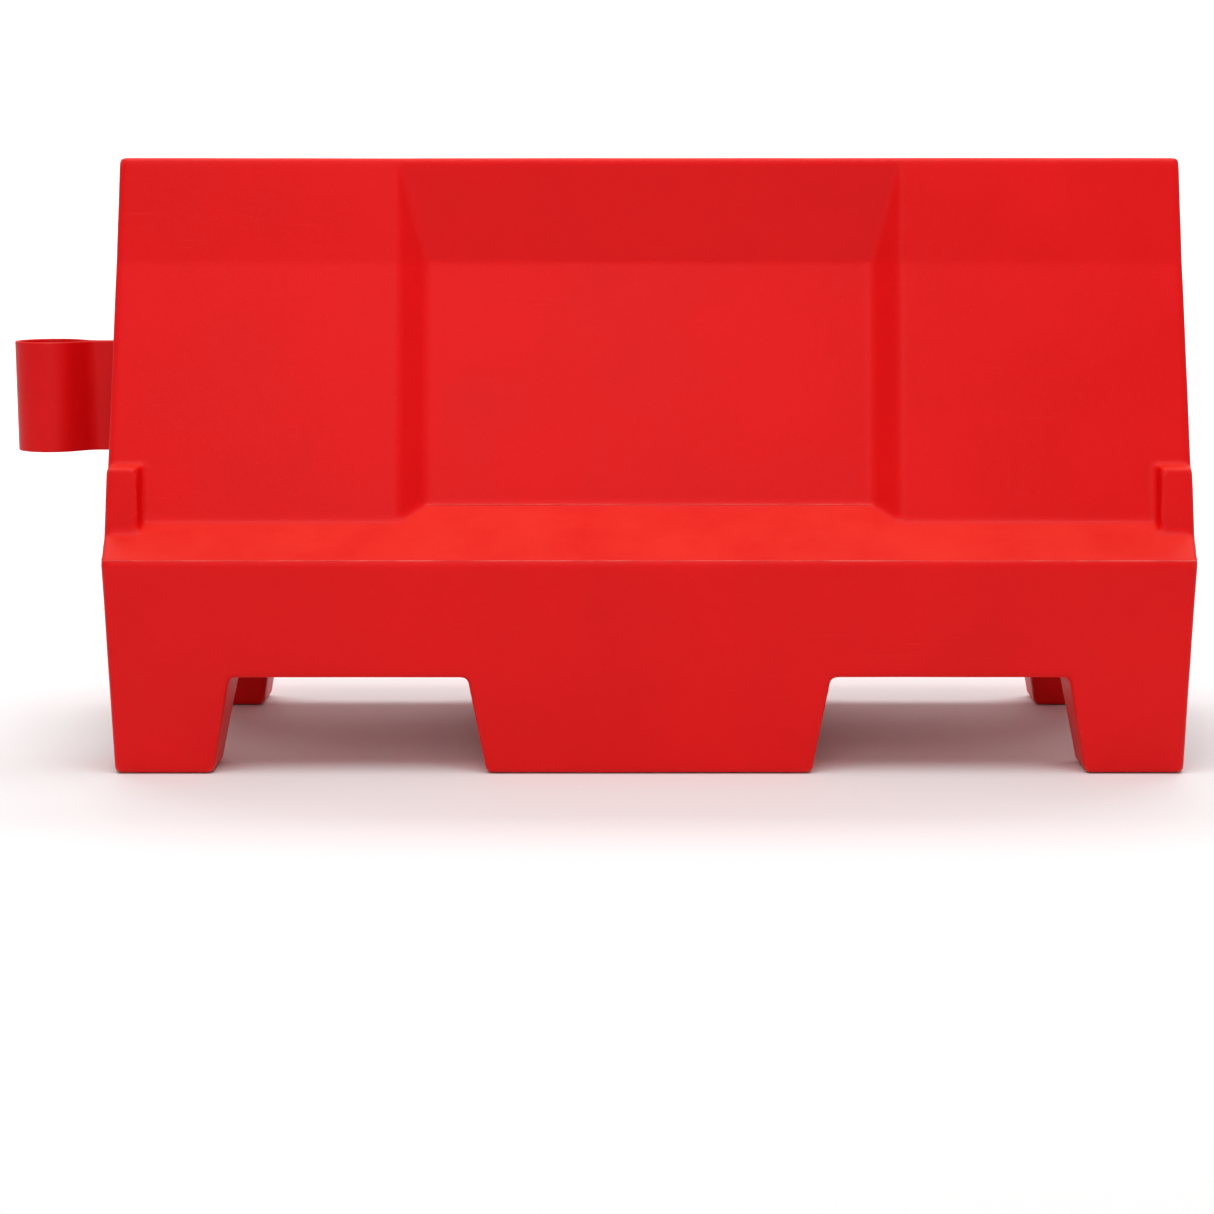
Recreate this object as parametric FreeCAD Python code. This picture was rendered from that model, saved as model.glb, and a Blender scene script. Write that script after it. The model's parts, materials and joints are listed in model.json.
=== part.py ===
import FreeCAD, Part
import math
import os

# A stackable water filled road barrier: a double-skinned, rotationally moulded tank on
# six feet, with a screwed filler bung in its top, a drain plug in each leg and a hollow
# link clip that hangs in the keyway of one end and joins the next barrier.
# Millimetres. X runs along the barrier, Y across it, Z up; the origin is on the floor
# under the middle of the tank.

# ---- driving dimensions: the tank -------------------------------------------------------
height = 550.0
length = 1016.0              # over the flats of the two ends, at the shoulder
shoulder_width = 400.0
foot_width = 386.0
shoulder_height = 195.0
panel_foot_width = 284.0     # where the upper panels rise from the ledge
ledge_rise = 28.0
neck_width = 180.0
neck_drop = 95.0             # from the top down to the change of slope
top_width = 170.0
wall = 4.5

end_flat_width = 120.0
end_rake = 8.0               # degrees that each end turns back towards its corners
upper_end_draft = 3.6        # degrees
skirt_end_draft = 1.9        # degrees

recess_width = 456.0
recess_depth = 23.0
recess_top_drop = 5.0        # from the top down to where the recess runs out

stack_pitch = 274.0          # rise of each barrier nested on the one below
stack_side_gap = 3.0
stack_top_gap = 1.5
block_length = 47.0
block_top_width = 312.0
block_side_lean = 2.9        # degrees

centre_foot_length = 295.0
end_foot_length = 114.5
foot_taper = 10.7            # degrees
fork_height = 88.0

# ---- driving dimensions: the link clip and its keyways ----------------------------------
lobe_radius = 34.0
lobe_pitch = 119.5
lobe_flank = 47.0            # degrees between each flank and the middle line
clip_wall = 3.0
clip_waist = 16.0
clip_bend_radius = 18.0      # where the flanks turn into the waist
clip_height = 104.0
clip_step = 6.0               # the clip's foot is cut away by this much inside the keyway
clip_step_reach = 60.0        # from the bore's centre out to the step
keyway_gap = 2.5             # round the lobe
keyway_inset = 54.0          # from the end flat, at the clip's foot, to the bore's centre
throat_width = 50.0
keyway_floor = 3.5
clip_floor_gap = 0.4

# ---- driving dimensions: the filler and the drains --------------------------------------
thread_gap = 0.4
fillet = 1.2

filler_well_radius = 39.0
filler_well_depth = 22.0
filler_neck_radius = 31.0
filler_bore_radius = 26.0
filler_neck_length = 28.0
filler_flange_radius = 36.5
filler_flange = 3.0
filler_seal_radius = 33.0
filler_seal = 2.5
filler_head_radius = 33.5
filler_head = 7.0
filler_wing = 7.0             # height, length, width and corner radius of the hand wing
filler_wing_length = 57.6
filler_wing_width = 11.4
filler_wing_corner = 2.6
filler_stem_length = 24.0
filler_stem_bore = 18.4       # radius

drain_height = 45.0
drain_well_radius = 23.0
drain_well_depth = 20.0      # on the well's own axis
drain_socket_radius = 15.0
drain_bore_radius = 10.5
drain_socket_length = 22.0
drain_flange_radius = 20.0
drain_flange = 2.5
drain_seal_radius = 16.0
drain_seal = 2.0
drain_head_radius = 16.5
drain_head = 4.0
drain_wing = 6.0
drain_wing_length = 28.4
drain_wing_width = 5.6
drain_wing_corner = 1.2
drain_stem_length = 19.0
drain_stem_bore = 7.3

# ---- worked out from the driving dimensions ---------------------------------------------
shoulder = shoulder_width / 2
panel_foot = panel_foot_width / 2
neck = neck_width / 2
top = top_width / 2
neck_z = height - neck_drop
ledge_z = shoulder_height + ledge_rise
panel_slope = (panel_foot - neck) / (neck_z - ledge_z)
ledge_slope = ledge_rise / (shoulder - panel_foot)
rake = math.tan(math.radians(end_rake))
upper_draft = math.tan(math.radians(upper_end_draft))
skirt_draft = math.tan(math.radians(skirt_end_draft))
tunnel_top = height - stack_pitch + stack_top_gap
keyway_z = tunnel_top + keyway_floor
root_z = shoulder_height - 2 * ledge_rise    # the upper part and the blocks start in here
outside = 2 * shoulder_width      # clear of the tank on every side


def end_x(y, z):
    """Distance from the middle of the barrier to its end face, at one place on the face."""
    x = length / 2 - rake * max(0.0, abs(y) - end_flat_width / 2)
    if z > shoulder_height:
        return x - upper_draft * (z - shoulder_height)
    return x - skirt_draft * (shoulder_height - z)


def panel_y(z):
    """Half width of the upper panels at one height."""
    if z > neck_z:
        return neck - (neck - top) * (z - neck_z) / neck_drop
    return neck + panel_slope * (neck_z - z)


keyway_x = end_x(0, keyway_z) - keyway_inset
drain_y = (panel_y(drain_height + stack_pitch) + stack_side_gap + foot_width / 2) / 2
drain_floor_x = end_x(drain_y, drain_height) - drain_well_depth
filler_floor_z = height - filler_well_depth


def grown(outline, gap):
    """A closed outline with every side moved outwards by gap (inwards where negative)."""
    area = sum(a[0] * b[1] - b[0] * a[1] for a, b in zip(outline, outline[1:] + outline[:1]))
    turn = math.copysign(1.0, area)
    result = []
    for i, corner in enumerate(outline):
        before = outline[i - 1]
        after = outline[(i + 1) % len(outline)]
        ax, ay = corner[0] - before[0], corner[1] - before[1]
        bx, by = after[0] - corner[0], after[1] - corner[1]
        a = math.hypot(ax, ay)
        b = math.hypot(bx, by)
        nx = turn * (ay / a + by / b)
        ny = -turn * (ax / a + bx / b)
        share = gap / (1 + (ax * bx + ay * by) / (a * b))
        result.append((corner[0] + nx * share, corner[1] + ny * share))
    return result


def frustum(low, high):
    """Closed solid between two flat outlines with matching corners."""
    faces = [Part.Face(Part.makePolygon(ring + ring[:1])) for ring in (low, high)]
    for i in range(len(low)):
        j = (i + 1) % len(low)
        faces.append(Part.Face(Part.makePolygon([low[i], low[j], high[j], high[i], low[i]])))
    shell = Part.makeShell(faces)
    shell.sewShape()
    solid = Part.makeSolid(shell)
    if solid.Volume < 0:
        solid.reverse()
    return solid


def drawn(points, reach):
    """Prism: a flat outline drawn out along a vector."""
    return Part.Face(Part.makePolygon(points + points[:1])).extrude(reach)


def along_x(outline):
    """Outline in Y and Z, drawn out along the whole barrier."""
    low = [FreeCAD.Vector(-outside, y, z) for y, z in outline]
    return drawn(low, FreeCAD.Vector(2 * outside, 0, 0))


def along_y(outline):
    """Outline in X and Z, drawn out across the whole barrier."""
    low = [FreeCAD.Vector(x, -outside, z) for x, z in outline]
    return drawn(low, FreeCAD.Vector(0, 2 * outside, 0))


def along_z(outline, bottom, rise):
    """Outline in X and Y, drawn up from one height."""
    low = [FreeCAD.Vector(x, y, bottom) for x, y in outline]
    return drawn(low, FreeCAD.Vector(0, 0, rise))


def mirrored(solids, normal):
    """The solids and their images across the plane through the origin."""
    return solids + [solid.mirror(FreeCAD.Vector(0, 0, 0), normal) for solid in solids]


X_AXIS = FreeCAD.Vector(1, 0, 0)
Y_AXIS = FreeCAD.Vector(0, 1, 0)
Z_AXIS = FreeCAD.Vector(0, 0, 1)


# ---- the tank ---------------------------------------------------------------------------
def end_limits(skin, low_z, high_z):
    """Solid between the two raked ends, from one height to another, inside a given skin."""
    rings = []
    for z in (low_z, high_z):
        flat = end_flat_width / 2
        flat_x = end_x(0, z) - skin
        far_x = end_x(outside, z) - skin * math.hypot(1, rake)
        corners = [(flat_x, flat), (far_x, outside), (-far_x, outside), (-flat_x, flat)]
        corners += [(-x, -y) for x, y in corners]
        rings.append([FreeCAD.Vector(x, y, z) for x, y in corners])
    return frustum(*rings)


def base_and_ledge(skin):
    """Skirt and feet, roofed by the two ledges run on to the middle."""
    roof = shoulder_height + ledge_slope * shoulder
    outline = [(-foot_width / 2, 0), (foot_width / 2, 0), (shoulder, shoulder_height),
               (0, roof), (-shoulder, shoulder_height)]
    return along_x(grown(outline, -skin))


def upper_body(skin):
    """The tapering upper part, started well below the ledges."""
    outline = [(-panel_y(root_z), root_z), (panel_y(root_z), root_z), (neck, neck_z),
               (top, height), (-top, height), (-neck, neck_z)]
    return along_x(grown(outline, -skin))


def side_recess(skin):
    """Shallow recess in the front panel with splayed sides, running out below the top."""
    slant = skin * math.hypot(1, panel_slope)
    splay = skin * math.hypot(1, 1, panel_slope)
    run_out = height - recess_top_drop
    rise = run_out - neck_z
    levels = [(root_z - ledge_rise, recess_depth + slant),
              (neck_z, recess_depth + slant),
              (run_out + rise * slant / recess_depth, 0.0)]
    rings = []
    for z, depth in levels:
        mouth = recess_width / 2 + splay
        corners = [(mouth + recess_depth, -recess_depth), (mouth - depth, depth),
                   (-mouth + depth, depth), (-mouth - recess_depth, -recess_depth)]
        rings.append([FreeCAD.Vector(x, deep - panel_y(z), z) for x, deep in corners])
    return [frustum(rings[0], rings[1]), frustum(rings[1], rings[2])]


def stacking_block(skin):
    """Block on the right-hand ledges that the end feet of the next barrier stand on."""
    lean = math.tan(math.radians(block_side_lean))
    start = length / 2 - block_length + skin
    rings = []
    for z in (root_z, stack_pitch - skin):
        half = block_top_width / 2 + lean * (stack_pitch - z) - skin
        corners = [(start, -half), (outside, -half), (outside, half), (start, half)]
        rings.append([FreeCAD.Vector(x, y, z) for x, y in corners])
    return frustum(*rings)


def stacking_tunnel(skin):
    """Open-ended tunnel under the barrier, which drops over the top of the one below."""
    low_z = -stack_side_gap
    outline = []
    for z in (low_z, neck_z - stack_pitch, height - stack_pitch):
        outline.append((panel_y(z + stack_pitch) + stack_side_gap, z))
    outline[-1] = (outline[-1][0], tunnel_top)
    outline += [(-y, z) for y, z in reversed(outline)]
    return along_x(grown(outline, skin))


def fork_opening(skin):
    """Gap between the centre foot and the right-hand end foot, through both legs."""
    taper = math.tan(math.radians(foot_taper))
    outline = []
    for z in (-fork_height / 2, fork_height):
        outline.append((centre_foot_length / 2 + taper * z, z))
    for z in (fork_height, -fork_height / 2):
        outline.append((length / 2 - end_foot_length - taper * z, z))
    return along_y(grown(outline, skin))


def keyway(skin):
    """Round pocket in the right-hand end, open at the top, with a narrower throat."""
    bore = Part.makeCylinder(lobe_radius + keyway_gap + skin, outside,
                             FreeCAD.Vector(keyway_x, 0, keyway_z - skin))
    throat = Part.makeBox(outside, throat_width + 2 * skin, outside,
                          FreeCAD.Vector(keyway_x, -throat_width / 2 - skin, keyway_z - skin))
    return bore.fuse(throat)


def drain_well(skin):
    """Round well for the front drain plug, let into the right-hand end of the front leg."""
    return Part.makeCylinder(drain_well_radius + skin, outside,
                             FreeCAD.Vector(drain_floor_x - skin, -drain_y, drain_height), X_AXIS)


def filler_well(skin):
    """Round well for the filler bung in the top."""
    return Part.makeCylinder(filler_well_radius + skin, outside,
                             FreeCAD.Vector(0, 0, filler_floor_z - skin))


def tank_form(skin):
    """The closed form of the tank with every face moved in by the thickness of a skin."""
    blocks = mirrored([stacking_block(skin)], X_AXIS)
    upper = upper_body(skin).cut(mirrored(side_recess(skin), Y_AXIS))
    form = upper.fuse([base_and_ledge(skin)] + blocks)
    low_limit = end_limits(skin, -height, shoulder_height)
    high_limit = end_limits(skin, shoulder_height, 2 * height)
    form = form.common(low_limit.fuse(high_limit))
    hollows = [stacking_tunnel(skin), filler_well(skin)]
    hollows += mirrored([fork_opening(skin), keyway(skin)], X_AXIS)
    hollows += mirrored([drain_well(skin)], Y_AXIS)
    return form.cut(hollows).removeSplitter()


def tank_shell():
    """The double-skinned tank, bored through its wells for the filler and the drains."""
    bores = [Part.makeCylinder(filler_neck_radius, 2 * filler_well_depth,
                               FreeCAD.Vector(0, 0, filler_floor_z - filler_well_depth))]
    drain = Part.makeCylinder(drain_socket_radius, 2 * drain_well_depth,
                              FreeCAD.Vector(drain_floor_x - drain_well_depth, -drain_y,
                                             drain_height), X_AXIS)
    bores += mirrored([drain], Y_AXIS)
    return tank_form(0.0).cut(tank_form(wall)).cut(bores)


# ---- threaded inserts, washers and bungs, built upright with the well's floor at z = 0 ---
def ring(outer, inner, bottom, thickness):
    """Flat ring or tube."""
    base = FreeCAD.Vector(0, 0, bottom)
    return Part.makeCylinder(outer, thickness, base).cut(Part.makeCylinder(inner, thickness, base))


def insert(flange_radius, flange, radius, bore, depth):
    """Flanged bush that is moulded into the wall and carries the thread."""
    return ring(flange_radius, bore, 0, flange).fuse(ring(radius, bore, -depth, depth))


def bung(head_radius, head, seat, stem_radius, stem_bore, stem_length):
    """Screwed bung: a round head on a hollow stem."""
    body = Part.makeCylinder(head_radius, head, FreeCAD.Vector(0, 0, seat))
    rims = [edge for edge in body.Edges if edge.BoundBox.ZMin > seat + head / 2]
    body = body.makeFillet(fillet, rims)
    foot = FreeCAD.Vector(0, 0, seat - stem_length)
    body = body.fuse(Part.makeCylinder(stem_radius, stem_length + head / 2, foot))
    return body.cut(Part.makeCylinder(stem_bore, stem_length, foot))


def wing(length, width, corner, bottom, top_z):
    """Upright wing across a bung's head, started inside the head."""
    block = Part.makeBox(length, width, top_z - bottom,
                         FreeCAD.Vector(-length / 2, -width / 2, bottom))
    corners = [edge for edge in block.Edges if edge.BoundBox.ZLength > (top_z - bottom) / 2]
    block = block.makeFillet(corner, corners)
    crown = [edge for edge in block.Edges if edge.BoundBox.ZMin > (top_z + bottom) / 2]
    return block.makeFillet(fillet, crown)


def seated(solid, base, direction):
    """The solid turned from +Z to a direction and moved to its seat."""
    solid = solid.copy()
    solid.Placement = FreeCAD.Placement(base, FreeCAD.Rotation(Z_AXIS, direction))
    return solid


def filler_parts():
    """Neck, washer and bung in the top of the tank."""
    seat = filler_flange + filler_seal
    head_top = seat + filler_head
    hand_wing = wing(filler_wing_length, filler_wing_width, filler_wing_corner,
                     head_top - filler_head / 2, head_top + filler_wing)
    cap = bung(filler_head_radius, filler_head, seat, filler_bore_radius - thread_gap,
               filler_stem_bore, filler_stem_length)
    solids = {
        "filler_neck": insert(filler_flange_radius, filler_flange, filler_neck_radius,
                              filler_bore_radius, filler_neck_length),
        "filler_seal": ring(filler_seal_radius, filler_bore_radius, filler_flange, filler_seal),
        "filler_cap": cap.fuse(hand_wing).removeSplitter(),
    }
    base = FreeCAD.Vector(0, 0, filler_floor_z)
    return {name: seated(solid, base, Z_AXIS) for name, solid in solids.items()}


def drain_parts():
    """Socket, washer and plug in the right-hand end of each leg."""
    seat = drain_flange + drain_seal
    head_top = seat + drain_head
    hand_wing = wing(drain_wing_length, drain_wing_width, drain_wing_corner,
                     head_top - drain_head / 2, head_top + drain_wing)
    plug = bung(drain_head_radius, drain_head, seat, drain_bore_radius - thread_gap,
                drain_stem_bore, drain_stem_length)
    solids = {
        "drain_socket": insert(drain_flange_radius, drain_flange, drain_socket_radius,
                               drain_bore_radius, drain_socket_length),
        "drain_seal": ring(drain_seal_radius, drain_bore_radius, drain_flange, drain_seal),
        "drain_plug": plug.fuse(hand_wing).removeSplitter(),
    }
    placed = {}
    for side, y in (("front", -drain_y), ("rear", drain_y)):
        base = FreeCAD.Vector(drain_floor_x, y, drain_height)
        for name, solid in solids.items():
            placed[name + "_" + side] = seated(solid, base, X_AXIS)
    return placed


# ---- the link clip ----------------------------------------------------------------------
def clip_prism(skin):
    """Two round lobes with straight flanks that meet in a waist, inside a given skin."""
    lobe = lobe_radius - skin
    waist = clip_waist / 2 - skin
    flank = math.radians(lobe_flank)
    touch_x = lobe * math.sin(flank)
    touch_y = lobe * math.cos(flank)
    waist_x = touch_x + (touch_y - waist) / math.tan(flank)
    web = [(-touch_x, touch_y), (-waist_x, waist), (waist_x - lobe_pitch, waist),
           (touch_x - lobe_pitch, touch_y)]
    web += [(x, -y) for x, y in reversed(web)]
    web = along_z(web, 0, clip_height)
    bends = [edge for edge in web.Edges if edge.BoundBox.ZLength > clip_height / 2
             and abs(abs(edge.BoundBox.YMax) - waist) < 0.01]
    web = web.makeFillet(clip_bend_radius + skin, bends)
    lobes = [Part.makeCylinder(lobe, clip_height, FreeCAD.Vector(-x, 0, 0))
             for x in (0, lobe_pitch)]
    return web.fuse(lobes).removeSplitter()


def link_clip():
    """Hollow clip: one lobe hangs in the left-hand keyway, the other, longer, is free."""
    clip = clip_prism(0.0).cut(clip_prism(clip_wall))
    foot = Part.makeBox(outside, outside, clip_step,
                        FreeCAD.Vector(-clip_step_reach, -outside / 2, 0))
    clip = clip.cut(foot)
    return clip.translated(FreeCAD.Vector(-keyway_x, 0, keyway_z + clip_floor_gap - clip_step))


parts = {"tank_shell": tank_shell(), "link_clip": link_clip()}
parts.update(filler_parts())
parts.update(drain_parts())
os.makedirs("parts", exist_ok=True)
for name, shape in parts.items():
    shape.exportStep("parts/" + name + ".step")
    print(name, "valid" if shape.isValid() else "NOT VALID", len(shape.Solids), "solid,",
          round(shape.Volume / 1000, 1), "cm3")
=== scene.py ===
import json
import math

import bmesh
import bpy
from mathutils import Matrix, Vector, geometry


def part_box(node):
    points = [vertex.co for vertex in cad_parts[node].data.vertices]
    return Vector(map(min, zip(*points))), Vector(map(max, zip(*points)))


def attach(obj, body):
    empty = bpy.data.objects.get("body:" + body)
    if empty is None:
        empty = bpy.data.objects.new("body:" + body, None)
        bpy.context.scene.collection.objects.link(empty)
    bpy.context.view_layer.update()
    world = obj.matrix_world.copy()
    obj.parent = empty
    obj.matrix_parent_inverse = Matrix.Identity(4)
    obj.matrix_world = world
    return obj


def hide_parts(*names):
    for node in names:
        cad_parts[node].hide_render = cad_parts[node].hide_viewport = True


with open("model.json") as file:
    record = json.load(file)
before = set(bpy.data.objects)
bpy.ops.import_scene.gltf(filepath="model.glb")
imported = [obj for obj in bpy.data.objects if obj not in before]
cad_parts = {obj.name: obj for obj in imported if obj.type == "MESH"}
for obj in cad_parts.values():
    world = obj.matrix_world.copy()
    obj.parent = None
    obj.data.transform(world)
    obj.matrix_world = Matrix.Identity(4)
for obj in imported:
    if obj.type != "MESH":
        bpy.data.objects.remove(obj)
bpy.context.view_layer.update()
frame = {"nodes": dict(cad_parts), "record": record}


# ---- the tank ---------------------------------------------------------------------------
# One hollow body of red polyethylene, rotationally moulded: powder melted on to the wall of
# a turning mould. It has no sharp edge anywhere, its flat panels draw in a little as they
# cool, and its skin keeps the fine grain of the mould.
EDGE_RADIUS = 0.004
EDGE_STEPS = 4
SKIN_VOXEL = 0.0026
SKIN_ROUNDING = 2
SKIN_FACES = 190000
PANEL_WAVE = 0.0011
PANEL_WAVE_SIZE = 0.17
EDGE_REACH = 9
POCKET_PLAY = 0.001
POCKET_SPARE = 0.004
SAME_POINT = 1e-5
LEVEL_ANGLE = math.radians(1)
SHARP_ANGLE = math.radians(25)
NARROW_TIP = math.radians(30)
ROOM_SHARE = 0.45             # of the way to the next edge, at most, is rounded off
LEAST_SHARE = 0.5             # an edge with room for less of its radius is only eased by the net

TANK_RED = (0.72, 0.0020, 0.0030, 1)
TANK_RED_DEEP = (0.67, 0.0012, 0.0020, 1)
# Pale red of rubbed edges, scuffs and specks; on the outer edges it also paints a highlight.
TANK_WEAR_AND_HIGHLIGHT = (0.86, 0.075, 0.060, 1)
# Paler red that the faces looking up take: painted light from above.
TANK_LIT_TOP_AND_DUST = (0.84, 0.055, 0.030, 1)


def bore_for(fitting, axis):
    """Centre, axis, radius and inner end of the hole that a round fitting passes through."""
    low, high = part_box(fitting)
    centre = (low + high) / 2
    across = [i for i in range(3) if i != axis]
    end = [v.co for v in frame["nodes"][fitting].data.vertices if v.co[axis] < low[axis] + SAME_POINT]
    radius = max(math.hypot(*(co[i] - centre[i] for i in across)) for co in end)
    return centre, axis, radius, low[axis] - POCKET_SPARE


def in_bore(vertex, centre, axis, radius):
    """Whether a vertex lies on the wall of a bore or inside it."""
    off_axis = [vertex.co[i] - centre[i] for i in range(3) if i != axis]
    return math.hypot(*off_axis) < radius + 2 * SAME_POINT


def outer_skin(node, bores):
    """The outside of a hollow CAD solid as a new mesh, with each bore a pocket of its own."""
    form = bmesh.new()
    form.from_mesh(frame["nodes"][node].data)
    bmesh.ops.remove_doubles(form, verts=form.verts, dist=SAME_POINT)
    lining = [f for f in form.faces
              if any(all(in_bore(v, *bore[:3]) for v in f.verts) for bore in bores)]
    bmesh.ops.delete(form, geom=lining, context="FACES")
    outermost = max(form.verts, key=lambda v: v.co.x)
    reached, waiting = {outermost}, [outermost]
    while waiting:
        for edge in waiting.pop().link_edges:
            for vertex in edge.verts:
                if vertex not in reached:
                    reached.add(vertex)
                    waiting.append(vertex)
    bmesh.ops.delete(form, geom=[v for v in form.verts if v not in reached], context="VERTS")
    for centre, axis, radius, floor in bores:
        across = [i for i in range(3) if i != axis]
        rim = [e for e in form.edges if e.is_boundary
               and all(in_bore(v, centre, axis, radius) for v in e.verts)]
        for vertex in {v for e in rim for v in e.verts}:
            for i in across:
                vertex.co[i] = centre[i] + (vertex.co[i] - centre[i]) * (1 + POCKET_PLAY / radius)
        made = bmesh.ops.extrude_edge_only(form, edges=rim)["geom"]
        for vertex in (g for g in made if isinstance(g, bmesh.types.BMVert)):
            vertex.co[axis] = floor
    bmesh.ops.holes_fill(form, edges=[e for e in form.edges if e.is_boundary])
    bmesh.ops.recalc_face_normals(form, faces=form.faces)
    mesh = bpy.data.meshes.new(node + "_skin")
    form.to_mesh(mesh)
    form.free()
    return mesh


def new_piece(name, mesh):
    """An object at the origin that shows a mesh."""
    piece = bpy.data.objects.new(name, mesh)
    bpy.context.scene.collection.objects.link(piece)
    return piece


def settle(piece):
    """Turns a piece and its modifiers into a plain mesh."""
    evaluated = piece.evaluated_get(bpy.context.evaluated_depsgraph_get())
    mesh = bpy.data.meshes.new_from_object(evaluated)
    piece.modifiers.clear()
    piece.data = mesh
    mesh.name = piece.name


def socket(tree, name, kind, value=None, way="INPUT"):
    """A named input or output of a node tree."""
    made = tree.interface.new_socket(name=name, in_out=way, socket_type="NodeSocket" + kind)
    if value is not None:
        made.default_value = value


def node(tree, kind, inputs=(), **settings):
    """A node with its settings; an input, by name or number, takes a value or a link."""
    made = tree.nodes.new(kind)
    for name, value in settings.items():
        setattr(made, name, value)
    for name, value in dict(inputs).items():
        if isinstance(value, bpy.types.NodeSocket):
            tree.links.new(value, made.inputs[name])
        else:
            made.inputs[name].default_value = value
    return made


def maths(tree, operation, first, second=0.0, third=0.0, clamp=False):
    """The result of one sum on values or links."""
    made = node(tree, "ShaderNodeMath", {0: first, 1: second, 2: third}, operation=operation,
                use_clamp=clamp)
    return made.outputs[0]


def geometry_tree(name, *inputs, shape=True):
    """A new Geometry Nodes tree with its inputs, and its own input node."""
    tree = bpy.data.node_groups.new(name, "GeometryNodeTree")
    if shape:
        socket(tree, "Geometry", "Geometry")
    for wanted in inputs:
        socket(tree, *wanted)
    socket(tree, "Finish", "Material")
    socket(tree, "Geometry", "Geometry", way="OUTPUT")
    return tree, tree.nodes.new("NodeGroupInput").outputs


def finish_tree(tree, geometry, given):
    """Ends a tree: smooth faces, real geometry and one material."""
    smooth = node(tree, "GeometryNodeSetShadeSmooth", {"Geometry": geometry})
    real = node(tree, "GeometryNodeRealizeInstances", {0: smooth.outputs[0]})
    end = node(tree, "GeometryNodeSetMaterial", {"Geometry": real.outputs[0],
                                                 "Material": given["Finish"]})
    node(tree, "NodeGroupOutput", {0: end.outputs[0]})
    return tree


def moulded_skin_tree():
    """Rounds every edge of a skin, draws its panels in by slow waves and marks its edges."""
    tree, given = geometry_tree("moulded_skin", ("Rounding", "Int", 3), ("Edge reach", "Int", 9),
                                ("Wave height", "Float", 0.001), ("Wave size", "Float", 0.2))
    place = node(tree, "GeometryNodeInputPosition").outputs[0]
    round_off = node(tree, "GeometryNodeBlurAttribute", data_type="FLOAT_VECTOR",
                     inputs={"Value": place, "Iterations": given["Rounding"]})
    rounded = node(tree, "GeometryNodeSetPosition", {"Geometry": given["Geometry"],
                                                     "Position": round_off.outputs["Value"]})
    flatten = node(tree, "GeometryNodeBlurAttribute", data_type="FLOAT_VECTOR",
                   inputs={"Value": place, "Iterations": given["Edge reach"]})
    normal = node(tree, "GeometryNodeInputNormal").outputs[0]
    lost = node(tree, "ShaderNodeVectorMath", {0: place, 1: flatten.outputs["Value"]},
                operation="SUBTRACT")
    stands_out = node(tree, "ShaderNodeVectorMath", {0: lost.outputs[0], 1: normal},
                      operation="DOT_PRODUCT")
    in_millimetres = maths(tree, "MULTIPLY", stands_out.outputs["Value"], 1000.0)
    marked = node(tree, "GeometryNodeStoreNamedAttribute",
                  {"Geometry": rounded.outputs[0], "Name": "edge", "Value": in_millimetres},
                  data_type="FLOAT", domain="POINT")
    waves = node(tree, "ShaderNodeTexNoise",
                 {"Vector": place, "Detail": 1.0,
                  "Scale": maths(tree, "DIVIDE", 1.0, given["Wave size"])})
    drawn = maths(tree, "MULTIPLY", waves.outputs[0], given["Wave height"])
    inward = node(tree, "ShaderNodeVectorMath",
                  {0: normal, "Scale": maths(tree, "MULTIPLY", drawn, -1.0)}, operation="SCALE")
    sunk = node(tree, "GeometryNodeSetPosition", {"Geometry": marked.outputs[0],
                                                  "Offset": inward.outputs[0]})
    return finish_tree(tree, sunk.outputs[0], given)


def run_tree(piece, tree, **inputs):
    """Runs a node tree on a piece with named inputs and keeps the result as its mesh."""
    modifier = piece.modifiers.new(tree.name, "NODES")
    modifier.node_group = tree
    for item in tree.interface.items_tree:
        wanted = item.name.replace(" ", "_").lower()
        if item.in_out == "INPUT" and wanted in inputs:
            modifier[item.identifier] = inputs[wanted]
    settle(piece)


def at_narrow_tip(edge):
    """Whether another sharp edge leaves one of this edge's ends close beside it."""
    for end in edge.verts:
        along = edge.other_vert(end).co - end.co
        for other in end.link_edges:
            if other != edge and other.calc_face_angle(0.0) > SHARP_ANGLE:
                if along.angle(other.other_vert(end).co - end.co) < NARROW_TIP:
                    return True
    return False


def room_share(edge, radius):
    """The share of the radius that the nearest sharp edge across a face leaves room for."""
    share = 1.0
    middle = (edge.verts[0].co + edge.verts[1].co) / 2
    for face in edge.link_faces:
        for other in face.edges:
            if set(other.verts) & set(edge.verts) or other.calc_face_angle(0.0) < SHARP_ANGLE:
                continue
            foot, along = geometry.intersect_point_line(middle, other.verts[0].co, other.verts[1].co)
            if 0.0 < along < 1.0:
                share = min(share, ROOM_SHARE * (middle - foot).length / radius)
    return share


def rounded(piece, radius):
    """Joins a piece's level faces and rounds its edges off."""
    form = bmesh.new()
    form.from_mesh(piece.data)
    bmesh.ops.dissolve_limit(form, angle_limit=LEVEL_ANGLE, verts=form.verts, edges=form.edges)
    share = form.edges.layers.float.new("bevel_weight_edge")
    for edge in form.edges:
        if edge.calc_face_angle(0.0) > SHARP_ANGLE and not at_narrow_tip(edge):
            room = room_share(edge, radius)
            edge[share] = room if room > LEAST_SHARE else 0.0
    form.to_mesh(piece.data)
    form.free()
    modifier = piece.modifiers.new("round", "BEVEL")
    modifier.width = radius
    modifier.segments = EDGE_STEPS
    modifier.limit_method = "WEIGHT"
    modifier.use_clamp_overlap = False
    modifier.loop_slide = False
    settle(piece)
    piece.modifiers.new("split", "TRIANGULATE")
    settle(piece)


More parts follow.
